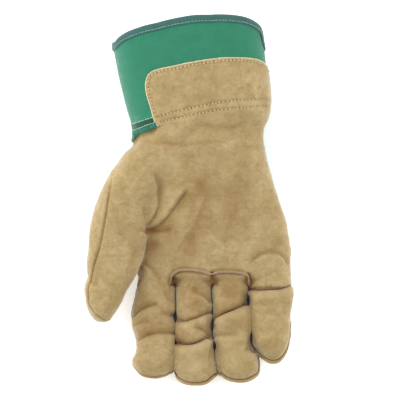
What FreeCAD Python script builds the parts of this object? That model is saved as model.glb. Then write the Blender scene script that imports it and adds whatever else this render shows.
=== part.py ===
"""Right-hand leather palm work glove with a safety cuff, lying on its back, palm up.

Millimetres. +X runs from the thumb side to the little finger, +Y from the fingertips to the cuff, and +Z
up from the surface that the back of the glove rests on. The origin is below the centre of the whole glove.
"""
import FreeCAD, Part
import os

Vector = FreeCAD.Vector
Rotation = FreeCAD.Rotation

SIZES = {
    # material thicknesses
    "leather": 1.4,
    "canvas": 1.0,
    "lining": 0.9,
    "thread": 0.7,
    # where the back of the glove lies on its knuckle strap
    "back_level": 1.4,
    # palm tube, from the wrist seam to the base of the fingers
    "wrist_x": 7.0, "wrist_y": 53.0, "wrist_z": 27.0,
    "wrist_half_width": 48.0, "wrist_half_height": 26.5,
    "hand_x": 11.5, "hand_y": 5.0, "hand_z": 21.5,
    "hand_half_width": 53.5, "hand_half_height": 21.0,
    "knuckle_x": 18.2, "knuckle_y": -57.0, "knuckle_z": 14.4,
    "knuckle_half_width": 55.4, "knuckle_half_height": 13.9,
    # the thumb's base, which swells out of the palm
    "thumb_heel_x": -16.0, "thumb_heel_y": 36.0, "thumb_heel_z": 27.0,
    "thumb_heel_half_width": 22.0, "thumb_heel_half_height": 20.0,
    "thumb_ball_x": -42.0, "thumb_ball_y": 8.0, "thumb_ball_z": 27.0,
    "thumb_ball_half_width": 21.0, "thumb_ball_half_height": 18.0,
    "thumb_mouth_x": -52.5, "thumb_mouth_y": -26.0, "thumb_mouth_z": 28.0,
    "thumb_mouth_half_width": 19.5, "thumb_mouth_half_height": 14.0,
    "thumb_seam_x": -36.0,
    # finger sleeves, each with half widths at root and tip; they start past the knuckle crease, which
    # leaves them room to curl
    "finger_y": -62.5, "finger_z": 14.0, "finger_half_height": 12.5,
    "index_x": -26.0, "index_root_width": 14.2, "index_tip_width": 14.0, "index_length": 65.5,
    "middle_x": 3.1, "middle_root_width": 14.2, "middle_tip_width": 14.4, "middle_length": 70.0,
    "ring_x": 31.8, "ring_root_width": 13.7, "ring_tip_width": 13.9, "ring_length": 68.5,
    "little_x": 60.2, "little_root_width": 13.9, "little_tip_width": 13.4, "little_length": 53.0,
    "tip_length": 15.0, "tip_cap_length": 30.0,
    # thumb sleeve
    "thumb_x": -54.3, "thumb_y": -30.5, "thumb_z": 28.5, "thumb_half_height": 13.0,
    "thumb_root_width": 17.2, "thumb_tip_width": 14.5, "thumb_length": 57.5,
    # cuff, from the wrist seam to the rim
    "rim_x": -0.5, "rim_y": 110.5, "rim_z": 30.5,
    "rim_half_width": 53.0, "rim_half_height": 34.0,
    "cuff_lap": 1.0,
    "binding_width": 6.0, "binding_thickness": 0.9,
    # wrist patch: the leather over the palm side of the cuff
    "patch_left": -31.0, "patch_right": 66.0, "patch_low": 50.0, "patch_high": 94.0,
    "patch_corner": 9.0, "patch_side_z": 24.0, "patch_to_rim": 20.0,
    # rows of thread: distance in from a leather edge, and where the wrist's two rows lie
    "row_inset": 3.0, "row_end_inset": 1.5,
    "wrist_row_low": 61.0, "wrist_row_high": 65.5, "wrist_row_right": 54.0, "wrist_row_side_z": 26.0,
    # knuckle strap across the back, and the elastic at the wrist
    "strap_low": -36.0, "strap_high": -4.0, "strap_side_z": 13.0,
    "elastic_low": 26.0, "elastic_high": 36.0, "elastic_side_z": 16.0,
    # welt across the palm, where the fronts of the two middle fingers are sewn on
    "welt_left": -14.0, "welt_right": 45.0, "welt_y": -48.0, "welt_width": 1.6,
}

WRIST_TILT, WRIST_YAW = 20.0, 9.0      # the palm side of the cuff leans away from the fingers
HAND_TILT, RIM_TILT = 6.0, 36.0
SEAM_TILT = 6.7                        # the side seam rises with the hand from the knuckles to the wrist
THUMB_YAW, THUMB_DROOP = -9.0, 7.0
THUMB_BALL_YAW = -4.0
PATCH_YAW = 7.0
REACH = 400.0                          # longer than the glove: the size of a half-space box

doc = FreeCAD.newDocument("work_glove")
nodes = []


def make_sheet():
    """The driving dimensions, one cell and one alias each."""
    sheet = doc.addObject("Spreadsheet::Sheet", "sizes")
    for row, (alias, value) in enumerate(SIZES.items(), start=1):
        sheet.set(f"A{row}", alias)
        sheet.set(f"B{row}", str(value))
        sheet.setAlias(f"B{row}", alias)
    doc.recompute()


def bind(thing, **properties):
    """Binds properties to expressions; a name's double underscore stands for a dot."""
    for name, expression in properties.items():
        thing.setExpression(name.replace("__", "."), expression)
    return thing


def cell(alias):
    return f"sizes.{alias}"


def section(name, place, half_width, half_height, tilt=0.0, yaw=0.0):
    """An upright ellipse across the hand; tilt leans its top towards the cuff."""
    ring = doc.addObject("Part::Ellipse", name)
    ring.Placement.Rotation = Rotation(Vector(0, 0, 1), yaw) * Rotation(Vector(1, 0, 0), 90 - tilt)
    x, y, z = place
    bind(ring, MajorRadius=half_width, MinorRadius=half_height)
    return bind(ring, Placement__Base__x=x, Placement__Base__y=y, Placement__Base__z=z)


def loft(name, sections):
    solid = doc.addObject("Part::Loft", name)
    solid.Sections = sections
    solid.Solid = True
    return solid


def box(name, low, high, yaw=0.0):
    """A box between two corners given as expressions or numbers."""
    block = doc.addObject("Part::Box", name)
    block.Placement.Rotation = Rotation(Vector(0, 0, 1), yaw)
    for axis, size, a, b in zip("xyz", ("Length", "Width", "Height"), low, high):
        block.setExpression(f"Placement.Base.{axis}", str(a))
        block.setExpression(size, f"({b}) - ({a})")
    return block


def cut(name, base, tool):
    result = doc.addObject("Part::Cut", name)
    result.Base, result.Tool = base, tool
    return result


def common(name, base, tool):
    result = doc.addObject("Part::Common", name)
    result.Base, result.Tool = base, tool
    return result


def fuse(name, shapes):
    result = doc.addObject("Part::MultiFuse", name)
    result.Shapes = shapes
    return result


def keep(thing, label):
    """Marks a finished sub-part, which is exported under its label."""
    thing.Label = label
    nodes.append(thing)
    return thing


def shrunk(alias, inset):
    return f"{cell(alias)} - ({inset})"


# ---------------------------------------------------------------- palm tube and thumb base
def palm_tube(name, inset):
    """The palm's tube, inset from its outer face by an expression."""
    stations = [("wrist", WRIST_TILT, WRIST_YAW), ("hand", HAND_TILT, 0.0), ("knuckle", 0.0, 0.0)]
    rings = []
    for station, tilt, yaw in stations:
        place = [cell(f"{station}_{axis}") for axis in "xyz"]
        width = shrunk(f"{station}_half_width", inset)
        height = shrunk(f"{station}_half_height", inset)
        rings.append(section(f"{name}_{station}", place, width, height, tilt, yaw))
    return loft(name, rings)


def thumb_base(name, inset):
    """The swelling that leads from the palm into the thumb."""
    rings = []
    for station, yaw in (("thumb_heel", 0.0), ("thumb_ball", THUMB_BALL_YAW), ("thumb_mouth", THUMB_YAW)):
        place = [cell(f"{station}_{axis}") for axis in "xyz"]
        width = shrunk(f"{station}_half_width", inset)
        height = shrunk(f"{station}_half_height", inset)
        rings.append(section(f"{name}_{station}", place, width, height, 0.0, yaw))
    return loft(name, rings)


def hand_form(name, inset):
    return fuse(name, [palm_tube(f"{name}_tube", inset), thumb_base(f"{name}_thumb", inset)])


def above(name, z, side=1):
    """A half-space box above a level, or below it for side -1."""
    low, high = (z, REACH / 2) if side > 0 else (-REACH / 2, z)
    return box(name, (-REACH / 2, -REACH / 2, low), (REACH / 2, REACH / 2, high))


def slab(name, station, turn, back, front):
    """A wide slab square to a turned Z axis, from one distance behind a station to another beyond it."""
    block = doc.addObject("Part::Box", name)
    block.Placement.Rotation = turn
    corner = turn.multVec(Vector(-REACH / 2, -REACH / 2, 0))
    normal = turn.multVec(Vector(0, 0, 1))
    for axis, offset, slope in zip("xyz", corner, normal):
        place = f"{cell(station + '_' + axis)} + ({offset}) - ({slope}) * ({back})"
        block.setExpression(f"Placement.Base.{axis}", place)
    return bind(block, Length=str(REACH), Width=str(REACH), Height=f"({back}) + ({front})")


def make_hand():
    """The shells of the palm, the finger roots, the thumb's base and the back, with what is sewn on them."""
    outer = hand_form("hand_outer", "0")
    inner = hand_form("hand_inner", cell("leather"))
    liner = hand_form("hand_liner", f"{cell('leather')} + {cell('lining')}")
    proud = palm_tube("hand_proud", "-" + cell("leather"))
    shell = cut("hand_shell", outer, inner)
    grounded = common("grounded_shell", shell, above("over_back", cell("back_level")))

    palm_side = slab("palm_side", "hand", Rotation(Vector(1, 0, 0), SEAM_TILT), "0", str(REACH))
    front = common("front_shell", grounded, palm_side)
    back = cut("back_shell", grounded, palm_side)
    thumb_low = (-REACH / 2, -REACH / 2, -REACH / 2)
    thumb_side = box("thumb_side", thumb_low, (cell("thumb_seam_x"), cell("wrist_y"), REACH / 2))
    welt_edge = f"{cell('welt_y')} + {cell('welt_width')}"
    root_low, welt_low = (
        (cell("welt_left"), y, cell("knuckle_z")) for y in (-REACH / 2, cell("welt_y"))
    )
    root_zone = box("root_zone", root_low, (cell("welt_right"), cell("welt_y"), REACH / 2))
    welt_zone = box("welt_zone", welt_low, (cell("welt_right"), welt_edge, REACH / 2))
    palm = cut("palm_above_welt", cut("palm_beside_roots", front, root_zone), welt_zone)
    keep(palm, "palm_leather")
    keep(common("root_cut", front, root_zone), "finger_roots_front")
    keep(common("thumb_base_back_cut", back, thumb_side), "thumb_base_back")
    keep(cut("back_canvas_cut", back, thumb_side), "back_canvas")

    welt_ring = cut("welt_ring", proud, palm_tube("welt_bore", cell("leather")))
    keep(common("welt_cut", welt_ring, welt_zone), "finger_base_welt")

    keep(common("lining_cut", cut("lining_ring", inner, liner), palm_side), "palm_lining")

    strap_zone = box(
        "strap_zone",
        (-REACH / 2, cell("strap_low"), 0),
        (REACH / 2, cell("strap_high"), cell("strap_side_z")),
    )
    lifted = common("lifted_form", outer, above("over_strap", cell("back_level")))
    keep(cut("strap_cut", common("strap_blank", proud, strap_zone), lifted), "knuckle_strap")

    elastic_zone = box(
        "elastic_zone",
        (cell("thumb_seam_x"), cell("elastic_low"), cell("back_level")),
        (REACH / 2, cell("elastic_high"), cell("elastic_side_z")),
    )
    elastic_ring = cut("elastic_ring", inner, liner)
    keep(common("elastic_cut", elastic_ring, elastic_zone), "wrist_elastic")

    for edge in ("low", "high"):
        inwards = cell("row_inset") if edge == "low" else f"-{cell('row_inset')} - {cell('thread')}"
        y = f"{cell('strap_' + edge)} + {inwards}"
        row = box(
            f"strap_row_{edge}",
            (-REACH / 2, y, cell("row_inset")),
            (REACH / 2, f"{y} + {cell('thread')}", f"{cell('strap_side_z')} - {cell('row_end_inset')}"),
        )
        skin = palm_tube(f"strap_skin_{edge}", f"-{cell('leather')} - {cell('thread')}")
        band = cut(f"strap_band_{edge}", skin, proud)
        keep(common(f"strap_thread_{edge}_cut", band, row), f"knuckle_strap_thread_{edge}")


# ---------------------------------------------------------------- cuff
RIM_TURN = Rotation(Vector(1, 0, 0), -90 - RIM_TILT)   # turns Z so that it looks out of the cuff


def cuff_form(name, inset, overhang="0"):
    """The cuff's cone from the wrist seam to the rim, inset by an expression and run on past the rim."""
    outward = RIM_TURN.multVec(Vector(0, 0, 1))
    rings = []
    for station, tilt, yaw in (("wrist", WRIST_TILT, WRIST_YAW), ("rim", RIM_TILT, 0.0)):
        place = [cell(f"{station}_{axis}") for axis in "xyz"]
        if station == "rim":
            place = [f"{at} + ({step}) * {overhang}" for at, step in zip(place, outward)]
        width = shrunk(f"{station}_half_width", f"({inset}) - {cell('cuff_lap')}")
        height = shrunk(f"{station}_half_height", f"({inset}) - {cell('cuff_lap')}")
        rings.append(section(f"{name}_{station}", place, width, height, tilt, yaw))
    return loft(name, rings)


def make_cuff():
    """Outer canvas, inner lining, binding over the rim, wrist patch and the rows of thread."""
    outside = cuff_form("cuff_outside", "0")
    middle = cuff_form("cuff_middle", cell("canvas"))
    inside = cuff_form("cuff_inside", f"2 * {cell('canvas')}")
    ground = above("cuff_ground", "0")
    tape = cell("binding_thickness")
    rim_edge = slab("rim_edge", "rim", RIM_TURN, cell("binding_width"), f"2 * {tape}")
    outer_layer = common("outer_layer", cut("outer_ring", outside, middle), ground)
    keep(outer_layer, "cuff_canvas")
    keep(cut("inner_layer", middle, inside), "cuff_lining")

    tape_outside = cuff_form("tape_outside", f"-{tape}", tape)
    tape_inside = cuff_form("tape_inside", f"2 * {cell('canvas')} + {tape}", tape)
    tape_ring = cut("tape_ring", tape_outside, tape_inside)
    cloth = cut("cloth_ring", outside, inside)
    band = common("tape_band", cut("tape_faces", tape_ring, cloth), rim_edge)
    keep(common("binding_on_ground", band, ground), "cuff_binding")

    patch_box = doc.addObject("Part::Box", "patch_box")
    patch_box.Placement.Rotation = Rotation(Vector(0, 0, 1), PATCH_YAW)
    bind(
        patch_box,
        Length=f"{cell('patch_right')} - {cell('patch_left')}",
        Width=f"{cell('patch_high')} - {cell('patch_low')}",
        Height=str(REACH / 4),
        Placement__Base__x=cell("patch_left"),
        Placement__Base__y=cell("patch_low"),
        Placement__Base__z=cell("patch_side_z"),
    )
    doc.recompute()
    corner = [
        index
        for index, edge in enumerate(patch_box.Shape.Edges, start=1)
        if abs(edge.tangentAt(edge.FirstParameter).z) > 0.9
        and edge.CenterOfMass.x < 0
        and edge.CenterOfMass.y > (SIZES["patch_low"] + SIZES["patch_high"]) / 2
    ]
    rounded = doc.addObject("Part::Fillet", "patch_rounded")
    rounded.Base = patch_box
    rounded.Edges = [(index, SIZES["patch_corner"], SIZES["patch_corner"]) for index in corner]
    patch_skin = cuff_form("patch_skin", "-" + cell("leather"))
    patch_ring = cut("patch_ring", patch_skin, outside)
    rim_clear = slab("rim_clear", "rim", RIM_TURN, cell("patch_to_rim"), cell("patch_to_rim"))
    clear_of_rim = cut("patch_below_rim", patch_ring, rim_clear)
    keep(common("patch_cut", clear_of_rim, rounded), "wrist_patch")

    thread_skin = cuff_form("thread_skin", f"-{cell('leather')} - {cell('thread')}")
    thread_ring = cut("thread_ring", thread_skin, patch_skin)
    rows = (
        ("cuff_seam_thread_low", cell("patch_left"), cell("wrist_row_low")),
        ("cuff_seam_thread_high", cell("patch_left"), cell("wrist_row_high")),
        (
            "wrist_patch_thread",
            f"{cell('patch_left')} + {cell('row_inset')}",
            f"{cell('patch_high')} - {cell('row_inset')}",
        ),
    )
    for name, x, y in rows:
        row = box(
            f"{name}_row",
            (x, y, cell("wrist_row_side_z")),
            (cell("wrist_row_right"), f"{y} + {cell('thread')}", REACH / 4),
            PATCH_YAW,
        )
        keep(common(f"{name}_cut", thread_ring, row), name)


# ---------------------------------------------------------------- fingers and thumb
def sleeve_form(name, finger, half_height, inset):
    """A tapered sleeve with a round closed tip, from its own origin towards -Y, inset by an expression."""
    height = f"{half_height} - ({inset})"
    root_width, tip_width = shrunk(f"{finger}_root_width", inset), shrunk(f"{finger}_tip_width", inset)
    tip_y = f"-({cell(finger + '_length')} - {cell('tip_length')})"
    root = section(f"{name}_root", ("0", "0", "0"), root_width, height)
    far = section(f"{name}_far", ("0", tip_y, "0"), tip_width, height)
    tube = loft(f"{name}_tube", [root, far])
    cap = doc.addObject("Part::Ellipsoid", f"{name}_tip")
    cap.Placement.Rotation = Rotation(Vector(1, 0, 0), 90)
    cap.Angle1 = 0
    cap.Angle2 = 90
    bind(cap, Radius1=f"{cell('tip_length')} - ({inset})", Radius2=tip_width, Radius3=height)
    bind(cap, Placement__Base__y=tip_y)
    return fuse(name, [tube, cap])


def place(thing, finger):
    """Sets a finger's piece at its knuckle, or the thumb's at its own root with its yaw and droop."""
    root = "thumb" if finger == "thumb" else "finger"
    if finger == "thumb":
        thing.Placement.Rotation = Rotation(Vector(0, 0, 1), THUMB_YAW) * Rotation(Vector(1, 0, 0), THUMB_DROOP)
    bind(thing, Placement__Base__x=cell(f"{finger}_x"))
    return bind(thing, Placement__Base__y=cell(f"{root}_y"), Placement__Base__z=cell(f"{root}_z"))


def make_finger(finger, has_cap):
    """Front leather, back, tip cap where there is one, and lining of a finger or the thumb."""
    half_height = cell("thumb_half_height" if finger == "thumb" else "finger_half_height")
    outer = sleeve_form(f"{finger}_outer", finger, half_height, "0")
    inner = sleeve_form(f"{finger}_inner", finger, half_height, cell("leather"))
    liner = sleeve_form(f"{finger}_liner", finger, half_height, f"{cell('leather')} + {cell('lining')}")
    shell = cut(f"{finger}_shell", outer, inner)
    upper = above(f"{finger}_upper", "0")
    front = common(f"{finger}_front_cut", shell, upper)
    lining = common(f"{finger}_lining_cut", cut(f"{finger}_lining_shell", inner, liner), upper)
    place(keep(front, f"{finger}_front"), finger)
    place(keep(lining, f"{finger}_lining"), finger)
    if not has_cap:
        back = cut(f"{finger}_back_cut", shell, upper)
        place(keep(back, f"{finger}_back"), finger)
        return
    cap_line = f"-({cell(finger + '_length')} - {cell('tip_cap_length')})"
    tip_low = (-REACH / 2, -REACH / 2, -REACH / 2)
    tip_zone = box(f"{finger}_tip_zone", tip_low, (REACH / 2, cap_line, "0"))
    cap = common(f"{finger}_tip_cap_cut", shell, tip_zone)
    back = cut(f"{finger}_back_cut", cut(f"{finger}_behind_cap", shell, tip_zone), upper)
    place(keep(back, f"{finger}_back"), finger)
    place(keep(cap, f"{finger}_tip_cap"), finger)
    skin = sleeve_form(f"{finger}_thread_skin", finger, half_height, "-" + cell("thread"))
    row = box(
        f"{finger}_thread_row",
        (-REACH / 2, f"{cap_line} - {cell('row_inset')}", f"-{half_height} + {cell('row_end_inset')}"),
        (REACH / 2, f"{cap_line} - {cell('row_inset')} + {cell('thread')}", f"-{half_height} / 2"),
    )
    thread = common(f"{finger}_thread_cut", cut(f"{finger}_thread_ring", skin, outer), row)
    place(keep(thread, f"{finger}_tip_cap_thread"), finger)


def check_and_export():
    """Stops on any failed object or bad shape, then writes one STEP file for each sub-part."""
    doc.recompute()
    for thing in doc.Objects:
        if "Invalid" in thing.State or "Error" in thing.State:
            raise RuntimeError(f"{thing.Name} failed: {thing.State}")
    os.makedirs("parts", exist_ok=True)
    for node in nodes:
        shape = node.Shape
        if shape.isNull() or not shape.isValid() or not shape.Solids:
            raise RuntimeError(f"{node.Label} has no valid solid")
        shape.exportStep(os.path.join("parts", f"{node.Label}.step"))
        bounds = shape.optimalBoundingBox(False, False)
        print(
            f"{node.Label:26s} {len(shape.Solids)} solid  {shape.Volume:9.1f} mm3 "
            f"x {bounds.XMin:7.1f}..{bounds.XMax:6.1f}  y {bounds.YMin:7.1f}..{bounds.YMax:6.1f}  "
            f"z {bounds.ZMin:5.1f}..{bounds.ZMax:5.1f}"
        )


make_sheet()
make_hand()
make_cuff()
for finger_name, capped in (("thumb", False), ("index", False), ("middle", True), ("ring", True), ("little", True)):
    make_finger(finger_name, capped)
check_and_export()
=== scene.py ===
"""Right-hand leather palm work glove, lying on its back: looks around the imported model.

Lengths inside this script are millimetres in the row frame (+X to the little finger, +Y to the cuff, +Z up
out of the palm); meshes are scaled to metres when they are made.
"""

import math

import bpy
import numpy as np
import openvdb
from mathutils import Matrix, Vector


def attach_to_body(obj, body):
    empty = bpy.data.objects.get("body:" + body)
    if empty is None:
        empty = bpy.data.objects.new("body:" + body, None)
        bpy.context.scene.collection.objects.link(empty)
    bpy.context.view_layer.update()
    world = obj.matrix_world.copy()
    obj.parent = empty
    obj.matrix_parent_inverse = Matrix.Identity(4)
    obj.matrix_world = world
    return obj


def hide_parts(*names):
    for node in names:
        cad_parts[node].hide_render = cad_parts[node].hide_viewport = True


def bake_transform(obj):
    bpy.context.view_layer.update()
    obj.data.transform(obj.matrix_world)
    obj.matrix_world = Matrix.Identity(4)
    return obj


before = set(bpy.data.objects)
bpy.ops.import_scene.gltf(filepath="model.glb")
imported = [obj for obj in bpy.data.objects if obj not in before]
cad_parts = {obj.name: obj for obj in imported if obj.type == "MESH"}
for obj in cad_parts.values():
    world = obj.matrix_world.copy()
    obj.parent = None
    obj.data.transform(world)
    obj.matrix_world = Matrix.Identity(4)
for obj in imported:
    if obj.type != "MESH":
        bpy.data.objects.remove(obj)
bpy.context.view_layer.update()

MM = 0.001
STEP = 0.8  # voxel of the form that the skin is taken from
LOW = np.array([-84.0, -140.0, -5.0])  # the box of the form
HIGH = np.array([86.0, 142.0, 70.0])
COUNT = np.ceil((HIGH - LOW) / STEP).astype(int)
XS, YS, ZS = (LOW[i] + STEP * np.arange(COUNT[i], dtype=np.float32) for i in range(3))
FAR = 30.0  # fields end at this distance
MARGIN = 16.0  # they are worked out this far round a tube
RIM_END = 122.0  # the plain form is longer than the cuff cut from it
FLOOR_GAP = 1.4  # the back lies this high, on its leather strap
ROOT_Y = -62.0  # where the fingers part from the palm
RIM_Y, RIM_Z = 110.5, 30.5  # the middle of the mouth
# how far the mouth's front edge lies beyond its middle, as (x, distance) points
RIM_FRONT = [(-52, -4.6), (-37, -5.4), (-23, -4.9), (-10, -3.0), (2, -1.2), (15, 0.0), (33, 3.2), (40, 4.6),
             (44, 5.2), (49, 5.8), (54, 7.5)]
LEATHER, CANVAS_THICK, LINING_THICK = 1.4, 1.0, 0.8  # thickness of each
FINGERS = ("index", "middle", "ring", "little")

rng = np.random.default_rng(11)
LATTICE = rng.random((64, 64, 64)).astype(np.float32)


# ---------------------------------------------------------------- small tools
def ramp(x, a, b):
    """0 below a and 1 above b, smooth between."""
    t = np.clip((x - a) / (b - a), 0, 1)
    return t * t * (3 - 2 * t)


def bell(x, width):
    """1 at 0, falling to nothing a few widths away."""
    return np.exp(-(x / width) ** 2)


def trilinear(q, look, soft=False):
    """Mix of look(i, j, k) over the eight grid corners round each point of q."""
    base = np.floor(q).astype(int)
    f = q - base
    if soft:
        f = f * f * (3 - 2 * f)
    total = np.zeros(len(q))
    for corner in np.ndindex(2, 2, 2):
        weight = np.prod(np.where(np.array(corner) == 1, f, 1 - f), axis=1)
        total += weight * look(*(base + corner).T)
    return total


def noise(points, scale, seed=0):
    """Smooth value noise between -1 and 1; scale is one length or three."""
    q = points / np.asarray(scale) + seed * np.array([17.31, 5.77, 29.13])
    return 2 * trilinear(q, lambda *at: LATTICE[tuple(np.mod(at, 64))], soft=True) - 1


def sample(field, points):
    """Value of a field at points."""
    return trilinear(np.clip((points - LOW) / STEP, 0, COUNT - 1.001), lambda *at: field[at])


def profile(points, blur=2.2):
    """A value for every row of the form along Y, from (y, value) points, softly rounded."""
    points = sorted(points)
    values = np.interp(YS, [p[0] for p in points], [p[1] for p in points])
    reach = int(3 * blur / STEP)
    kernel = np.exp(-0.5 * (np.arange(-reach, reach + 1) * STEP / blur) ** 2)
    padded = np.pad(values, reach, mode="edge")
    return np.convolve(padded, kernel / kernel.sum(), mode="valid")


def smooth_min(a, b, k):
    """The smaller of two fields, rounded where they meet."""
    h = np.clip(0.5 + 0.5 * (b - a) / k, 0, 1)
    return b * (1 - h) + a * h - k * h * (1 - h)


def tube(left, right, low, high, middle, power, tip, tip_length, tip_power=2.5):
    """Distance field of a tube along Y given by its edges, closed by a round tip at its low end."""
    left, right, low, high, middle = (profile(p) for p in (left, right, low, high, middle))
    s = np.clip((tip + tip_length - YS) / tip_length, 0, 1)
    close = np.clip(1 - s ** tip_power, 1e-4, 1) ** (1 / tip_power)
    centre, half = (left + right) / 2, (right - left) / 2 * close
    field = np.full(COUNT, FAR, np.float32)
    rows = np.where(YS > tip - MARGIN / 2)[0]
    first, last = (centre - half)[rows].min() - MARGIN, (centre + half)[rows].max() + MARGIN
    cols = np.where((XS > first) & (XS < last))[0]
    x = XS[cols][:, None, None]
    z = ZS[None, None, :]
    row = (None, rows, None)
    c, w, m = centre[row], half[row], middle[row]
    up, down = ((high - middle) * close)[row], ((middle - low) * close)[row]
    h = np.where(z > m, up, down)
    u, v = np.abs(x - c) / w, np.abs(z - m) / h
    r = np.maximum((u ** power + v ** power) ** (1 / power), 1e-3)
    slope = np.sqrt(((u / r) ** (power - 1) / w) ** 2 + ((v / r) ** (power - 1) / h) ** 2)
    distance = (r - 1) / np.maximum(slope, 0.02)
    distance = np.maximum(distance, tip - YS[None, rows, None])
    field[cols[0]:cols[-1] + 1, rows[0]:rows[-1] + 1] = np.clip(distance, -FAR, FAR)
    return field


def line_value(points, x):
    """The y of a line across the glove at x, from (x, y) points."""
    return np.interp(x, [p[0] for p in points], [p[1] for p in points])


def rounded(points, times=3):
    """A polyline with its corners cut, its ends kept."""
    p = np.array(points, float)
    for _ in range(times):
        a, b = p[:-1], p[1:]
        inner = np.stack([0.75 * a + 0.25 * b, 0.25 * a + 0.75 * b], 1).reshape(-1, p.shape[1])
        p = np.vstack([p[:1], inner[1:-1], p[-1:]])
    return p


def run_along(line):
    """How far along a line each of its points lies."""
    return np.concatenate([[0], np.cumsum(np.linalg.norm(np.diff(line, axis=0), axis=1))])


def at_each(places, run, values):
    """Every column of values at places along a run."""
    return np.stack([np.interp(places, run, column) for column in values.T], 1)


def unit(vectors):
    return vectors / np.linalg.norm(vectors, axis=1)[:, None]


def signed_distance(points, line):
    """Distance of points to a line in plan, positive on its left, and how far along it they lie, 0 to 1."""
    best = np.full(len(points), 1e9)
    side, along = np.zeros(len(points)), np.zeros(len(points))
    run = run_along(line)
    for i in range(len(line) - 1):
        a, d = line[i], line[i + 1] - line[i]
        length = np.linalg.norm(d)
        t = np.clip(((points[:, :2] - a) @ d) / length ** 2, 0, 1)
        gap = points[:, :2] - a - t[:, None] * d
        distance = np.hypot(gap[:, 0], gap[:, 1])
        nearer = distance < best
        best = np.where(nearer, distance, best)
        side = np.where(nearer, np.sign(d[0] * gap[:, 1] - d[1] * gap[:, 0]), side)
        along = np.where(nearer, (run[i] + t * length) / run[-1], along)
    return best * side, along


# ---------------------------------------------------------------- the form of the stuffed glove
# edges of each tube, as (y, x) or (y, z) points
TUBE = dict(
    left=[(-61, -35.5), (-48, -37), (-25, -39.5), (5, -42), (25, -41.5), (35, -40.2), (43, -38.6),
          (52, -40.6), (64, -44.6), (89, -50.7), (108, -54.3), (131, -57.5)],
    right=[(-61, 73.2), (-45, 72.3), (-32, 72.0), (-16, 69.3), (3, 62.9), (25, 56.2), (42, 53.2), (51, 53.6),
           (58, 56.4), (71, 57.9), (82, 57.1), (98, 54.8), (110, 53.3), (131, 52)],
    low=[(-61, 1.2), (53, 1.2), (60, 2.0), (131, 2.2)],
    high=[(-61, 27), (-48, 29.5), (5, 41.5), (40, 49.0), (53, 50.6), (62, 51.6), (90, 54.2), (131, 58.6)],
    middle=[(-61, 13), (5, 18.5), (53, 26), (90, 28), (131, 29)],
)
THUMB_POWER = 2.2
THUMB = dict(
    left=[(50, -30), (41, -37), (34, -45), (20, -55), (5.4, -62.9), (-9, -67.9), (-29, -71.6), (-45, -73.0),
          (-54, -72.4), (-65, -74.4), (-75, -74.0), (-84, -72)],
    right=[(50, 4), (41, -4), (20, -14), (5, -24), (-5.4, -31.5), (-16, -32.0), (-25, -30.6), (-34, -30.9),
           (-47, -34.3), (-54, -36.8), (-60, -41), (-70, -46.4), (-81, -51), (-87, -53)],
    low=[(50, 12), (8, 9), (-26, 14), (-60, 12), (-87, 10.5)],
    high=[(50, 44), (30, 46.5), (8, 45), (-26, 41.5), (-60, 38), (-87, 35)],
    middle=[(50, 28), (8, 26), (-26, 27), (-60, 24), (-87, 22)],
)
FINGER_EDGES = {
    "index": dict(
        left=[(-53, -35.7), (-68, -38.6), (-81, -41.4), (-90, -41.2), (-100, -38.2), (-107, -37.2),
              (-111.5, -38.4), (-114.5, -41.6), (-117.5, -40.8), (-122, -40.0)],
        right=[(-55, -10.8), (-67, -9.9), (-78, -9.9), (-82, -9.6), (-85, -11.4), (-90, -9.6), (-101, -11.2),
               (-111, -9.8), (-119, -10.4)], tip=-128.4, tip_length=15),
    "middle": dict(
        left=[(-55, -8.8), (-67, -8.9), (-82, -8.7), (-92, -8.7), (-101, -9.4), (-111, -8.5), (-122, -9.6)],
        right=[(-53, 14.3), (-63, 15.2), (-75, 16.4), (-88, 15.4), (-95, 15.8), (-100, 17.7), (-110, 17.2),
               (-122, 19.6)], tip=-132.2, tip_length=13),
    "ring": dict(
        left=[(-55, 17.4), (-62, 17.0), (-75, 18.0), (-91, 17.0), (-102, 19.4), (-114, 18.9), (-125, 21.5)],
        right=[(-53, 40.7), (-62, 41.9), (-69, 40.9), (-75, 41.6), (-81, 43.4), (-90, 44.3), (-97, 44.0),
               (-102, 42.8), (-107, 44.6), (-111, 47.8), (-116, 50.2), (-121, 50.2)],
        tip=-130.4, tip_length=14),
    "little": dict(
        left=[(-57, 44.0), (-65, 43.4), (-75, 44.6), (-86, 45.2), (-99, 45.8), (-106, 48.4), (-113, 51.6)],
        right=[(-50, 71.4), (-58, 73.9), (-68, 73.9), (-78, 72.2), (-88, 71.6), (-99, 71.6), (-109, 69.8),
               (-113, 69)], tip=-117.0, tip_length=17),
}
FINGER_HEIGHTS = dict(
    low=[(-62, 1.5), (-130, 1.5)],
    high=[(-50, 26.5), (-70, 26.5), (-100, 26.8), (-130, 25)],
    middle=[(-50, 13.5), (-130, 13)],
)
THUMB_TOP = 46.0  # the thumb's tube starts below this line
FINGER_TOP = ROOT_Y + 26.0  # and the fingers' tubes below this one


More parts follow.
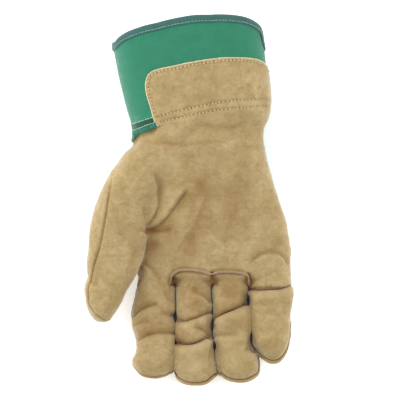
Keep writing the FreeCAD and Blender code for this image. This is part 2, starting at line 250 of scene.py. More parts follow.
def make_form():
    """The fields of the tube, thumb and fingers, and of the whole glove."""
    y = YS[None, :, None]
    fields = {"palm": tube(**TUBE, power=2.25, tip=-62.0, tip_length=9, tip_power=2.2)}
    thumb = tube(**THUMB, power=THUMB_POWER, tip=-87.6, tip_length=16, tip_power=2.4)
    fields["thumb"] = np.maximum(thumb, y - THUMB_TOP).astype(np.float32)
    for finger in FINGERS:
        shape = tube(**FINGER_EDGES[finger], **FINGER_HEIGHTS, power=2.35)
        fields[finger] = np.maximum(shape, y - FINGER_TOP).astype(np.float32)
    hand = fields["index"]
    for finger in FINGERS[1:]:
        hand = smooth_min(hand, fields[finger], 0.4)
    softness = (1.2 + 9.0 * ramp(y, -34, -12)).astype(np.float32)
    whole = smooth_min(smooth_min(fields["palm"], fields["thumb"], softness), hand, 3.5)
    floor = (FLOOR_GAP - ZS)[None, None, :].astype(np.float32)
    whole = -smooth_min(-whole, -floor, 4.0)
    beyond = (YS[:, None] - RIM_END - 0.7 * (ZS[None, :] - RIM_Z))[None]
    return fields, np.maximum(whole, beyond).astype(np.float32)


def skin_mesh(field, inside=0.0):
    """Triangles of a field's surface, lightly relaxed; further inside, the skin is half as fine."""
    every = 2 if inside else 1
    grid = openvdb.FloatGrid(background=FAR)
    grid.copyFromArray(np.ascontiguousarray(field[::every, ::every, ::every]))
    points, quads = grid.convertToQuads(-inside)
    points = points.astype(float) * STEP * every + LOW
    quads = quads[:, ::-1].astype(int)
    tris = np.vstack([quads[:, [0, 1, 2]], quads[:, [0, 2, 3]]])
    points = relax(points, tris, 3)
    top = np.argmax(points[:, 2])
    return points, tris if normals_of(points, tris)[top, 2] > 0 else tris[:, ::-1]


def relax(points, tris, times):
    """Evens a mesh out without shrinking it."""
    a, b = tris[:, [0, 1, 2]].ravel(), tris[:, [1, 2, 0]].ravel()
    count = np.bincount(a, minlength=len(points))[:, None]
    for step in range(times * 2):
        mean = np.stack([np.bincount(a, points[b, i], len(points)) for i in range(3)], 1) / count
        points = points + (0.5 if step % 2 == 0 else -0.53) * (mean - points)
    return points


def normals_of(points, tris):
    """The direction out of the surface at every point."""
    a, b, c = (points[tris[:, i]] for i in range(3))
    face = np.cross(b - a, c - a)
    total = np.zeros_like(points)
    for i in range(3):
        for axis in range(3):
            total[:, axis] += np.bincount(tris[:, i], face[:, axis], len(points))
    return total / np.maximum(np.linalg.norm(total, axis=1), 1e-9)[:, None]


# ---------------------------------------------------------------- where things lie on the glove
def edge(table, key, y):
    """One edge of a tube, at y."""
    return np.interp(y, YS, profile(table[key]))


THUMB_DIR = np.array([-0.156, -0.988, 0.0])  # the way the thumb points
THUMB_ROOT = np.array([-52.5, -31.7, 27.0])  # on the plane where the thumb parts from the palm
# the seam on the thumb's outer side, as (y, x) points
THUMB_SEAM = [(26, -52.8), (7, -55.6), (-14, -59.3), (-33, -63.0), (-47, -67.6), (-64, -71.6), (-73, -71.8),
              (-80, -69.6), (-87, -64)]
# the cuff's lower edge, at the front and at the back, as (x, y) points
CUFF_FRONT = [(-45, 41.0), (-40, 40.8), (-38.4, 42.4), (-37, 45.0), (-35, 46.5), (-30, 47.7), (-24.5, 49.8),
              (-22, 51.8), (-3, 56.0), (13, 59.0), (32, 62.6), (60, 64)]
CUFF_BACK = [(-45, 42.5), (60, 58.5)]
# plan view of the wrist patch and of the corded seam
PATCH = rounded([(-20.6, 46), (-22.0, 51.4), (-24.4, 57), (-27.4, 66.6), (-30.4, 76), (-30.6, 84),
                 (-27.8, 90.0), (-21.0, 92.4), (-10.2, 94.4), (-1.8, 96.4), (13, 98.8), (27, 100.6),
                 (45, 100.0), (51.6, 98.0), (57, 93), (64, 86)])
PATCH_SIDE_Z = 24.0  # how far the patch comes down at the glove's right
# rows of stitches over the wrist, and at the left over the lower edge of the cuff
ROWS = (
    [(-22.2, 58.4), (-3.6, 63.1), (12.9, 67.0), (33.6, 70.4), (57, 71.0)],
    [(-20.7, 54.6), (2.1, 59.9), (23.4, 64.0), (57, 66.8)],
)
CUFF_ROWS = ([(-43.5, 52.4), (-24.5, 58.4)], [(-43.0, 47.7), (-21.5, 55.0)])
WELT = rounded([(-13.2, -60), (-13.0, -54.6), (-9.6, -51.2), (-4.9, -49.8), (5.5, -50.3), (13.0, -52.2),
                (16.2, -54.0), (19.2, -51.8), (27.5, -51.2), (35.9, -52.0), (41.6, -53.6), (42.8, -57),
                (42.9, -61)])
WELT_TOP = -46.0  # the corded seam lies between this line and the roots
STRAP = (-36.0, -4.0, 10.5)  # low and high edge along Y, and how far it comes up the sides
ELASTIC = (26.0, 36.0, 16.0)  # the same for the elastic inside the wrist
THUMB_BACK = [(-62, -22), (-44, -29), (-20, -36)]  # (y, x) of the edge of the thumb's leather on the back
CAP_LENGTH = 30.0  # of the leather caps on the backs of the fingertips
WEB_Y = ROOT_Y + 4.0  # below this line the fingers press against each other
FINGER_GAP = 0.14  # between the sides of fingers that touch


def seam_height(points, owner):
    """How far points lie above the seam between the palm side and the back."""
    x, y, z = points.T
    middle = edge(TUBE, "middle", y) - 2.5
    result = z - middle
    for finger in FINGERS:
        here = owner == finger
        tip = FINGER_EDGES[finger]["tip"]
        lift = 8.5 * (1 - ramp(y, tip + 1, tip + 13))
        root = ramp(y, -76, -58)
        level = (1 - root) * (12.0 + lift) + root * middle
        result = np.where(here, z - level, result)
    left, right = edge(THUMB, "left", y), edge(THUMB, "right", y)
    seam_x = line_value(sorted(THUMB_SEAM), y)
    high, mid = edge(THUMB, "high", y), edge(THUMB, "middle", y)
    u = np.clip(np.abs(seam_x - (left + right) / 2) / ((right - left) / 2), 0, 0.999)
    top = mid + (high - mid) * (1 - u ** THUMB_POWER) ** (1 / THUMB_POWER)
    slope = (mid - 2 - top) / np.maximum(right - seam_x, 4)
    thumb = z - (top + slope * (x - seam_x))
    return np.where(np.isin(owner, ["thumb", "palm_thumb"]), thumb, result)


def rim_distance(points):
    """How far points lie beyond the mouth's edge, which leans out at the front."""
    x, y, z = points.T
    front = line_value(RIM_FRONT, x)
    up = z - RIM_Z
    return y - RIM_Y - np.where(up > 0, 0.69 * up + front * ramp(z, RIM_Z, RIM_Z + 8), 0.12 * up)


def cuff_distance(points):
    """How far points lie up the cuff from its lower edge."""
    x, y, z = points.T
    front, back = line_value(CUFF_FRONT, x), line_value(CUFF_BACK, x)
    w = ramp(z, 8, 30)
    return y - (front * w + back * (1 - w))


# ---------------------------------------------------------------- folds
# zone, line, depth of the dip, height of the ridge on its right-hand side (its left if negative), reach of
# the ridge, sharpness of the crack in the dip
# the dip and its crack are also given painted shade, and the ridge a painted highlight
FOLDS = [
    ("index", [(-43, -87), (-38.5, -83.0), (-33.5, -79.3), (-27.5, -76.5), (-20, -75.6)], 1.5, 1.5, 8, 0.5),
    ("index", [(-40, -91.0), (-34, -88.6), (-27, -88.0)], 0.9, 0.7, 5, 0.35),
    ("index", [(-39.5, -104.5), (-34.5, -100.2), (-27, -96.6), (-20, -95.6), (-8, -97.0)], 1.3, 1.5, 14, 0.4),
    ("index", [(-19.0, -67.5), (-15.5, -70.0), (-11.5, -75.0)], 0.7, 0.4, 6, 0.2),
    ("index", [(-22, -81.5), (-15, -83.4), (-8, -84.5)], 0.9, 0.8, 5, 0.3),
    ("middle", [(0.5, -65.5), (8.7, -67.6), (17, -75.5)], 1.2, 1.0, 8, 0.4),
    ("middle", [(-10, -85.8), (-4, -87.6), (2.5, -86.4), (10.8, -82.6), (18, -79.5)], 1.9, 1.5, 8, 0.8),
    ("middle", [(1.5, -91.0), (8.7, -93.4), (13.5, -97.0), (18, -102)], 1.3, 1.1, 7, 0.5),
    ("middle", [(-10, -101.8), (-3.9, -104.2), (2.4, -103.8), (8.7, -101.2), (12.5, -99.4), (18, -101.4)],
     2.8, 2.5, 16, 1.0),
    ("ring", [(16, -86.8), (22, -83.0), (28.5, -80.2), (36, -77.6), (44, -74.4)], 2.8, 2.6, 12, 1.0),
    ("ring", [(18, -98.6), (26.5, -97.4), (36, -97.6)], 1.1, 1.0, 14, 0.25),
    ("ring", [(39, -107.5), (43, -108.6), (48, -111)], 1.1, 0.6, 6, 0.4),
    ("ring", [(20, -68), (27, -70.5), (35, -70.0)], 0.6, 0.4, 8, 0.2),
    ("little", [(39, -63.6), (47, -65.4), (56, -65.2), (65.3, -64.8), (70, -62.7), (76, -59.4)],
     2.6, 2.4, 15, 1.0),
    ("little", [(47, -81.5), (54, -83.5), (64, -83)], 0.5, 0.4, 12, 0.0),
    ("palm", [(71.8, -50.6), (70.6, -46.8), (67.8, -42.4), (64.4, -39.2), (60.0, -37.9), (53.0, -39.2),
              (47.5, -42.3), (41.5, -46.8)], 1.35, -1.3, 9, 0.3),
    ("palm", [(0.6, 8.4), (-3.6, 4.2), (-9.4, -3.8), (-15.6, -12.6), (-21.6, -18.4), (-33, -22.6)],
     1.45, 1.3, 9, 0.22),
    ("palm", [(-26, 21), (-23.4, 13), (-20.8, 2), (-22.6, -8), (-27.5, -15.4), (-33, -20.4)],
     1.35, 1.25, 8, 0.22),
    ("palm", [(-37, -22.4), (-29, -25.0), (-20, -24.4), (-10, -20.8)], 1.35, 0.9, 7, 0.2),
    ("palm", [(-37, 41.5), (-26, 38.6), (-8, 36.8), (8, 37.0), (22, 39.5)], 0.7, 0.6, 12, 0.0),
    ("palm", [(2, 52.5), (14, 50.2), (28, 48.8), (42, 49.6)], 0.6, 0.5, 11, 0.0),
    ("palm", [(-35, -44), (-27, -51), (-20, -60)], 0.9, 0.8, 9, 0.2),
    ("palm", [(14, 6), (6, -14), (-3, -30), (-10, -40)], 0.5, 0.5, 14, 0.0),
    ("palm", [(34, -2), (26, -22), (21, -38)], 0.35, 0.35, 13, 0.0),
    ("palm", [(16.2, -50.5), (16.2, -57), (16.6, -66)], 1.1, 0.3, 5, 1.6),
    ("palm", [(-13.4, -55.0), (-12.0, -60), (-9.4, -66)], 0.8, 0.3, 5, 1.6),
    ("palm", [(42.6, -51.5), (42.6, -58), (43.0, -66)], 0.9, 0.3, 5, 1.6),
    ("palm", [(-29.8, -24.8), (-32.6, -15.5), (-34.0, -4.5)], 0.9, -0.9, 6, 0.2),
    ("thumb", [(-37.5, -49), (-40.5, -57), (-45, -64)], 0.7, -0.5, 9, 0.0),
    ("thumb", [(-75, -57), (-70, -59.5), (-64, -62)], 0.7, 0.5, 9, 0.2),
]
# soft marks, partly the nap's own uneven tone and partly painted shade in hollows (the palm, the thumb's
# crotch, the finger roots below the welt, the wrist folds): x, y, half widths, turn in degrees, darkness
# (paler if negative)
MARKS = [
    (9, 11, 12, 6, 70, 0.42), (2.5, -31, 5, 13, -22, 0.50), (31, -6, 6, 12, -20, 0.32),
    (-26, -33, 6, 8, -15, 0.70), (-12, -21, 5, 6, 0, 0.30), (-6, -15, 4, 8, -15, -0.35),
    (-39, -38, 3.5, 9, -10, 0.35), (-27, 5, 5, 9, 10, 0.20), (36, 14, 9, 12, -30, 0.16),
    (14, 32, 14, 6, 0, 0.20), (-10, 22, 9, 7, 20, -0.35), (-16, -8, 5, 9, -35, -0.30),
    (20, -30, 8, 6, 30, -0.22), (54, -20, 8, 14, 10, -0.18), (46, 66, 10, 5, 0, -0.25),
    (-16, 78, 7, 9, 0, 0.24), (10, 72, 14, 4, 12, 0.20), (5, -74, 9, 8, 0, 0.40), (30, -64, 9, 7, 0, 0.55),
    (4, -62, 9, 7, 0, 0.40), (-6, -98, 5, 6, 0, 0.40), (32, -90, 9, 4, 0, 0.35), (10, -92, 6, 5, 0, 0.25),
    (-30, -94, 7, 4, 0, 0.30), (-33, -74, 5, 6, 0, 0.22), (-20, -62, 7, 5, 0, 0.20),
    (56, -76, 8, 5, 0, 0.22), (58, -104, 6, 6, 0, 0.18), (-24, -110, 8, 7, 0, -0.20),
    (4, -116, 9, 7, 0, -0.28), (30, -110, 9, 8, 0, -0.20), (-58, -2, 4, 16, 6, 0.16),
    (-46, -24, 7, 12, 10, 0.20), (-50, -56, 9, 9, 0, -0.10), (-66, -50, 3, 12, 10, 0.15),
    (60, -52, 7, 5, 0, 0.18), (20, 50, 18, 3.6, -4, 0.22), (-18, 39, 16, 3.0, -4, 0.16),
    (28, 88, 13, 5, 0, -0.12), (8, -4, 28, 32, 0, 0.22), (-24, -92, 15, 24, 0, 0.24),
]
# hollows between the fingers: x, y, half width, half height
PINCHES = [
    (-12.0, -58.2, 1.7, 2.8), (-10.2, -84.6, 1.9, 3.4), (-9.9, -101.2, 1.9, 3.2), (-10.2, -125.0, 1.8, 3.0),
    (16.1, -55.4, 1.5, 3.2), (16.6, -89.5, 1.9, 4.4), (18.4, -104.4, 1.8, 3.2),
    (42.7, -57.8, 1.6, 2.6), (43.2, -71.0, 2.6, 4.4), (44.6, -98.4, 2.0, 4.2),
]


def fold_skin(points, normals, zone):
    """The shift of the palm side into its folds, and the shade painted on them: painted shade in the dips,
    painted highlight on the ridges.
    """
    shift, shade = np.zeros_like(points), np.zeros(len(points))
    facing = ramp(normals[:, 2], -0.25, 0.35)
    for where, line, depth, ridge, reach, crack in FOLDS:
        near = np.where((zone == where) & (facing > 0))[0]
        side, ridge = (1.0 if ridge >= 0 else -1.0), abs(ridge)
        overhang = (0.3 + 0.45 * min(crack, 1)) * min(ridge, 2.2)
        d, along = signed_distance(points[near], rounded(line))
        ends = ramp(along, 0, 0.16) * ramp(1 - along, 0, 0.16) * facing[near]
        d = -d * side + 0.8 * noise(points[near], 9.0, 5) - 0.8 * overhang
        rise = ridge * np.exp(-np.maximum(d, 0) / reach) * ramp(d, -1.2, 1.6)
        dip = depth * np.exp(-(np.maximum(-d, 0) / 4.8) ** 1.3) * ramp(-d, -1.3, 1.0)
        dip += crack * 0.6 * depth * bell(d + 0.5, 0.9)
        shift[near] += normals[near] * ((rise - dip) * ends)[:, None]
        ahead = np.subtract(line[-1], line[0])
        across = np.array([ahead[1], -ahead[0]]) / np.linalg.norm(ahead) * side
        lean = overhang * facing[near] * ends  # less on the sides, where it would fold over
        shift[near, :2] -= (lean * bell(d - 0.8, 1.8))[:, None] * across
        # painted shade in the dip and its crack, and a painted highlight on the ridge
        dark = depth / 3.2 * bell(d + 1.8, 2.8) + crack * 0.35 * bell(d + 0.5, 0.9)
        shade[near] += (dark - 0.2 * ridge * bell(d - 2.0, 2.0)) * ends
    return shift, shade


def mark_shade(points, normals):
    """The shade of the marks, a little uneven: partly the nap's own tone, partly painted shade in hollows."""
    uneven = (1 + 0.25 * noise(points, 6, 12)) * ramp(normals[:, 2], -0.25, 0.35)
    shade = np.zeros(len(points))
    for x, y, wide, high, turn, dark in MARKS:
        c, s = math.cos(math.radians(turn)), math.sin(math.radians(turn))
        dx, dy = points[:, 0] - x, points[:, 1] - y
        u, v = (c * dx + s * dy) / wide, (c * dy - s * dx) / high
        shade += dark * np.exp(-(u * u + v * v)) * uneven
    return shade


# ---------------------------------------------------------------- skin
SCALARS = ["seam", "cuff", "patch", "patch_side", "rim", "thumb", "root", "welt", "strap_low", "strap_high",
           "strap_side", "thumb_back", "cap", "elastic_low", "elastic_high", "elastic_side", "shade",
           "finger", "between"]
COLUMNS = {"rest": slice(0, 3), "at": slice(3, 6), "normal": slice(6, 9)}
COLUMNS.update({key: 9 + i for i, key in enumerate(SCALARS)})


def value(table, key):
    return table[:, COLUMNS[key]]


def nearest_part(points):
    """The part of the hand that each point belongs to, and the distances that tell the parts apart."""
    near = np.stack([sample(fields[name], points) for name in ("palm", "thumb", *FINGERS)], 1)
    past_root = points @ THUMB_DIR - THUMB_ROOT @ THUMB_DIR
    others = np.minimum(near[:, 0], near[:, 2:].min(axis=1))
    thumb = np.maximum(-past_root, near[:, 1] - others)
    finger = np.argmin(near[:, 2:], axis=1)
    nearest = np.sort(near[:, 2:], axis=1)
    between = (nearest[:, 0] - nearest[:, 1]) * np.where(finger % 2 == 0, 1, -1)
    gap = np.where(points[:, 1] < WEB_Y, nearest[:, 1], 9.0)
    zone = np.full(len(points), "palm", dtype="<U12")
    zone[(near[:, 1] < near[:, 0]) & (points[:, 1] < 30)] = "palm_thumb"
    zone[thumb < 0] = "thumb"
    for i, name in enumerate(FINGERS):
        zone[(points[:, 1] < ROOT_Y) & (finger == i) & (thumb >= 0)] = name
    return zone, thumb, finger, between, gap


def pinch_depth(points):
    """How far points lie in the hollows between the fingers, 0 to 1."""
    x, y, z = points.T
    hollow = np.zeros(len(points))
    for at_x, at_y, wide, high in PINCHES:
        spot = np.exp(-((x - at_x) / wide) ** 2 - ((y - at_y) / high) ** 2)
        hollow = np.maximum(hollow, spot * ramp(z, 4, 12))
    return hollow


def lumps(points, below_cuff):
    """Height of the lumps of the soft leather, and of the stiffer cuff."""
    soft = 0.75 * noise(points, 21, 1) + 0.4 * noise(points, 8.5, 2) + 0.16 * noise(points, 3.4, 3)
    soft += 0.35 * noise(points, (13, 3.6, 8), 4) * ramp(-points[:, 1], 50, 70)
    stiff = 0.5 * noise(points, (30, 60, 30), 6) + 0.10 * noise(points, 7, 7)
    return below_cuff * soft + (1 - below_cuff) * stiff


def seam_relief(points, zone, seam):
    """Height of the seam between front and back, a groove between two lips, and the shade painted into the
    groove.
    """
    groove = bell(seam, 0.62)
    lip = bell(seam + 2.0, 1.3) - 0.5 * bell(seam - 1.6, 1.2)
    here = ramp(-points[:, 1], -24, 4) * ((zone != "palm") | (points[:, 0] > 30))
    return here * (0.4 * lip - 0.85 * groove), here * 0.65 * groove


def row_relief(points, palmar):
    """Height of the rows of stitches over the wrist, with the leather puckered on both sides, and the shade
    painted along each row.
    """
    height, shade = np.zeros(len(points)), np.zeros(len(points))
    pucker = 0.6 + 0.6 * noise(points, (4.2, 30, 30), 9)
    for row in ROWS:
        d, along = signed_distance(points, rounded(row))
        ends = ramp(along, 0, 0.03) * ramp(1 - along, 0, 0.03) * palmar
        height += (0.35 * bell(np.abs(d) - 2.6, 1.4) * pucker - 0.55 * bell(d, 1.2)) * ends
        shade += 0.30 * bell(d, 1.1) * ends
    return height, shade


def welt_relief(points, palmar, welt):
    """Height of the dips on both sides of the corded seam, and the shade painted into them."""
    here = palmar * (points[:, 1] > ROOT_Y) * (points[:, 1] < WELT_TOP)
    return (-0.5 * bell(np.abs(welt) - 1.6, 0.8) * here,
            0.6 * bell(np.abs(welt + 0.2) - 1.5, 0.7) * here)


def cuff_relief(points, palmar, cuff, patch):
    """Height of the cuff's free corner at the left, with the leather tucked in under it; shade is painted
    where the leather tucks under and between the overlock's ribs, and the canvas is darker between the two
    rows.
    """
    leftward = -points[:, 0]
    tuck = ramp(leftward, 20, 26) * ramp(-cuff, -0.4, 0.8) * ramp(9 + cuff, 0, 8)
    stands_out = ramp(leftward, 18, 24) * ramp(cuff, -0.5, 1.0) * ramp(16 - cuff, 0, 12)
    above, below = (signed_distance(points, np.array(row, float))[0] for row in CUFF_ROWS)
    band = ramp(-above, -0.4, 0.6) * ramp(below, -0.4, 0.6)
    edging = ramp(-below, -0.2, 0.8)
    on_canvas = ramp(leftward, 20, 23) * palmar * (cuff > 0) * ramp(patch, 0, 1.0)
    return (1.1 * stands_out - 1.6 * tuck,
            0.5 * tuck * ramp(3 + cuff, 0, 3) + (1.55 * band + 1.2 * edging) * on_canvas)


def dress(points, tris):
    """Folds and wrinkles a plain skin and notes where every point lies and the shade painted on it; one table
    row per point.
    """
    x, y, z = points.T
    normals = normals_of(points, tris)
    zone, thumb, finger, between, gap = nearest_part(points)
    off_thumb = thumb >= 0
    seam = seam_height(points, zone)
    cuff = cuff_distance(points)
    patch = signed_distance(points, PATCH)[0]
    welt = signed_distance(points, WELT)[0]
    palmar = ramp(normals[:, 2], -0.2, 0.3)
    below_cuff = ramp(-cuff, 0, 8)
    shift, shade = fold_skin(points, normals, np.where(zone == "palm_thumb", "palm", zone))
    shade += mark_shade(points, normals)
    height = lumps(points, below_cuff)
    for more_height, more_shade in (
        seam_relief(points, zone, seam), row_relief(points, palmar), welt_relief(points, palmar, welt),
        cuff_relief(points, palmar, cuff, patch),
    ):
        height += more_height
        shade += more_shade

    # flatter on the table; gathered by the elastic
    height *= np.where(normals[:, 2] < -0.3, 0.25 + 0.75 * ramp(z, 1.0, 6.0), 1)
    gather = bell(y - sum(ELASTIC[:2]) / 2, 5.5) * ramp(-normals[:, 2], 0.1, 0.6) * below_cuff
    height += gather * (0.7 * np.sin(x * 1.55 + 1.3 * noise(points, 12, 8)) - 1.1)

    # fingers press against each other, apart from the hollows; their roots are sunk below the welt
    hollow = pinch_depth(points)
    press = (np.minimum(gap, 3.2) - FINGER_GAP) / 2 * ramp(6.0 - gap, 0, 2.8) * ramp(WEB_Y - y, 0, 3.0)
    height *= 1 - 0.9 * ramp(4.5 - gap, 0, 2) * off_thumb
    height += (press * (1 - hollow) - 0.9 * hollow) * off_thumb
    height -= 1.2 * ramp(-welt, 0, 1.6) * palmar * (y < WELT_TOP) * ramp(y, -74, -58) * ramp(z, 14, 22)
    # painted shade on the finger sides down in the slits, more below the seam, and in the hollows between the
    # fingers
    sideways = ramp(np.hypot(normals[:, 0], np.minimum(normals[:, 1], 0)), 0.45, 0.85)
    slit_shade = 0.55 + 1.3 * ramp(-seam, -0.5, 1.5)
    shade += ((slit_shade * ramp(3.5 - gap, 0, 2.5) + 1.1 * hollow) * sideways + 0.45 * hollow) * off_thumb
    # painted shade on the webs between the fingers, on the walls that face the fingertips
    shade += 0.6 * ramp(-normals[:, 1], 0.35, 0.8) * ramp(-y, 54, 58) * ramp(y, -67, -64)

    moved = points + shift + normals * height[:, None]
    moved[:, 2] = np.maximum(moved[:, 2], FLOOR_GAP)
    moved = relax(moved, tris, 1)
    tips = np.array([FINGER_EDGES[name]["tip"] for name in FINGERS])[finger]
    values = dict(
        rest=points, at=moved, normal=normals_of(moved, tris), seam=seam, cuff=cuff, patch=patch,
        patch_side=PATCH_SIDE_Z - z, rim=rim_distance(moved), thumb=thumb, root=y - ROOT_Y, welt=welt,
        thumb_back=x - line_value(THUMB_BACK, y), cap=y - tips - CAP_LENGTH, shade=shade, finger=finger,
        between=between,
    )
    for band, (low, high, side) in (("strap", STRAP), ("elastic", ELASTIC)):
        values.update({band + "_low": low - y, band + "_high": y - high, band + "_side": z - side})
    table = np.zeros((len(points), 9 + len(SCALARS)))
    for key, column in values.items():
        table[:, COLUMNS[key]] = column
    return table


SNAP = 0.12  # corners nearer a cut than this count as just beyond it


def cut(skin, key, where=None):
    """Splits the triangles that a field's zero line crosses, so that panels end on a clean line."""
    data, tris = skin
    f = data[:, COLUMNS[key]].copy()
    f[np.abs(f) < SNAP] = SNAP
    data[:, COLUMNS[key]] = f
    above = (f > 0)[tris]
    crossing = above.any(1) & ~above.all(1)
    if where is not None:
        crossing &= where(data[tris].mean(1))
    if not crossing.any():
        return
    todo, chosen = tris[crossing], above[crossing]
    lone = np.where(chosen.sum(1) == 1, chosen.argmax(1), (~chosen).argmax(1))
    order = (lone[:, None] + np.arange(3)) % 3
    a, b, c = np.take_along_axis(todo, order, 1).T
    pairs = np.sort(np.vstack([np.stack([a, b], 1), np.stack([a, c], 1)]), axis=1)
    unique, index = np.unique(pairs, axis=0, return_inverse=True)
    t = (f[unique[:, 0]] / (f[unique[:, 0]] - f[unique[:, 1]]))[:, None]
    fresh = data[unique[:, 0]] * (1 - t) + data[unique[:, 1]] * t
    index = index.reshape(-1) + len(data)
    p, q = index[:len(a)], index[len(a):]
    fresh[:, COLUMNS[key]] = 0
    skin[0] = np.vstack([data, fresh])
    pieces = [np.stack(corners, 1) for corners in ((a, p, q), (p, b, c), (p, c, q))]
    skin[1] = np.vstack([tris[~crossing], *pieces])


def cut_panels(skin, inner=False):
    """All the cuts of a skin; the inner skin, for the linings, needs only some."""
    cut(skin, "rim")
    skin[1] = skin[1][value(skin[0][skin[1]].mean(1), "rim") < 0]
    cut(skin, "thumb", lambda m: (m[:, 0] < -25) & (m[:, 1] < -20) & (m[:, 1] > -45))
    cut(skin, "root")
    cut(skin, "between", lambda m: (m[:, 1] < ROOT_Y) & (value(m, "thumb") > 0))
    cut(skin, "cuff")
    cut(skin, "seam", lambda m: value(m, "cuff") < 0)
    if inner:
        return
    cut(skin, "patch", lambda m: (value(m, "cuff") > 0) & (value(m, "patch_side") < 6))
    cut(skin, "patch_side", lambda m: (value(m, "cuff") > 0) & (m[:, 0] > 0) & (value(m, "patch") < 0))
    cut(skin, "welt", lambda m: (m[:, 1] < -45) & (m[:, 1] > ROOT_Y) & (m[:, 0] > -20) & (m[:, 0] < 50)
        & (value(m, "seam") > 0))
    for band in ("strap", "elastic"):
        for side in ("_low", "_high"):
            cut(skin, band + side, lambda m: (m[:, 2] < 20) & (value(m, "thumb") > 0))
        cut(skin, band + "_side", lambda m: (value(m, band + "_low") < 0) & (value(m, band + "_high") < 0)
            & (value(m, "thumb") > 0))
    cut(skin, "thumb_back", lambda m: (value(m, "seam") < 0) & (value(m, "cuff") < 0) & (m[:, 1] > ROOT_Y)
        & (m[:, 0] < -30))
    cut(skin, "cap", lambda m: (value(m, "seam") < 0) & (m[:, 1] < ROOT_Y) & (value(m, "finger") > 0.5)
        & (value(m, "thumb") > 0))


fields, whole = make_form()
points, tris = skin_mesh(whole)
outer_skin = [dress(points, tris), tris]
cut_panels(outer_skin)
data, tris = outer_skin
points, inner_tris = skin_mesh(whole, LEATHER + 0.1)  # the lining fills the leather, with a small gap
inner_skin = [dress(points, inner_tris), inner_tris]
cut_panels(inner_skin, True)


# ---------------------------------------------------------------- finishes
def rgb(*srgb):
    """Linear colour from 0-255 sRGB."""
    return tuple(((v / 255 + 0.055) / 1.055) ** 2.4 if v > 10 else v / 255 / 12.92 for v in srgb) + (1.0,)


WAVES_PER_UNIT = 3.18  # stripes of the wave texture in one unit of its scale


class Finish:
    """A material whose nodes are added one by one; textures are fixed to the cloth by its rest position."""

    def __init__(self, name, **settings):
        self.material = bpy.data.materials.new(name)
        self.material.use_nodes = True
        self.tree = self.material.node_tree
        self.shader = self.tree.nodes["Principled BSDF"]
        for key, value in settings.items():
            self.shader.inputs[key.replace("_", " ")].default_value = value
        self.normal = None

    def cloth(self):
        """Reads where each point lies on the unfolded cloth, and its shade: painted shade in folds, seams,
        slits and needle holes, painted highlight on ridges, marks in the nap that are partly tone and partly
        painted shade, and pale raw edges.
        """
        self.rest = self.attribute("rest", "Vector")
        self.shade = self.attribute("shade", "Fac")
        return self

    def node(self, kind, inputs, **settings):
        """The outputs of a new node; its inputs are linked to sockets, or set to values."""
        node = self.tree.nodes.new(kind)
        for key, setting in settings.items():
            setattr(node, key, setting)
        for key, value in inputs.items():
            if isinstance(value, bpy.types.NodeSocket):
                self.tree.links.new(value, node.inputs[key])
            else:
                node.inputs[key].default_value = value
        return node.outputs

    def attribute(self, name, output):
        return self.node("ShaderNodeAttribute", {}, attribute_name=name)[output]

    def place(self, scale=(1, 1, 1), turn=(0, 0, 0)):
        inputs = {"Vector": self.rest, "Scale": scale, "Rotation": turn}
        return self.node("ShaderNodeMapping", inputs)["Vector"]

    def clouds(self, size, detail=3.0, rough=0.55, where=None, warp=0.0):
        """Noise, 0 to 1, with lumps about size mm wide."""
        return self.node("ShaderNodeTexNoise", {
            "Vector": self.rest if where is None else where, "Scale": 1.0 / size, "Detail": detail,
            "Roughness": rough, "Distortion": warp})["Fac"]

    def bands(self, pitch, turn, warp, warp_scale=1.0):
        """Soft stripes, a pitch in mm apart."""
        return self.node("ShaderNodeTexWave", {
            "Vector": self.place(turn=turn), "Scale": 1 / pitch / WAVES_PER_UNIT, "Distortion": warp,
            "Detail": 2.0, "Detail Scale": warp_scale})["Fac"]

    def stretch(self, value, low, high, to_low=0.0, to_high=1.0):
        return self.node("ShaderNodeMapRange", {
            "Value": value, "From Min": low, "From Max": high, "To Min": to_low, "To Max": to_high})["Result"]

    def math(self, operation, a, b=0.0):
        return self.node("ShaderNodeMath", {0: a, 1: b}, operation=operation)[0]

    def mix(self, factor, a, b):
        return self.node("ShaderNodeMix", {0: factor, 6: a, 7: b}, data_type="RGBA")[2]

    def tint(self, colour, amount, factor, other):
        """A colour mixed with another by some amount of a factor."""
        return self.mix(self.math("MULTIPLY", factor, amount), colour, other)

    def feed(self, key, socket):
        self.tree.links.new(socket, self.shader.inputs[key])

    def bump(self, height, distance, strength=1.0):
        """Adds small relief, its height in mm, on top of the relief so far."""
        inputs = {"Distance": distance * MM, "Strength": strength, "Height": height}
        if self.normal is not None:
            inputs["Normal"] = self.normal
        self.normal = self.node("ShaderNodeBump", inputs)["Normal"]
        self.feed("Normal", self.normal)


FINISHES = {}
RAW_EDGE = rgb(222, 208, 176)
SUEDE = dict(Roughness=0.95, Specular_IOR_Level=0.25, Sheen_Weight=0.85, Sheen_Tint=(1.0, 0.96, 0.89, 1),
             Sheen_Roughness=0.36)
CANVAS = dict(Roughness=0.85, Specular_IOR_Level=0.25, Sheen_Weight=0.65, Sheen_Tint=(0.85, 1, 0.94, 1),
              Sheen_Roughness=0.3)
THREAD = dict(Roughness=0.75, Specular_IOR_Level=0.25, Sheen_Weight=0.25, Sheen_Tint=(1, 1, 1, 1),
              Sheen_Roughness=0.5)


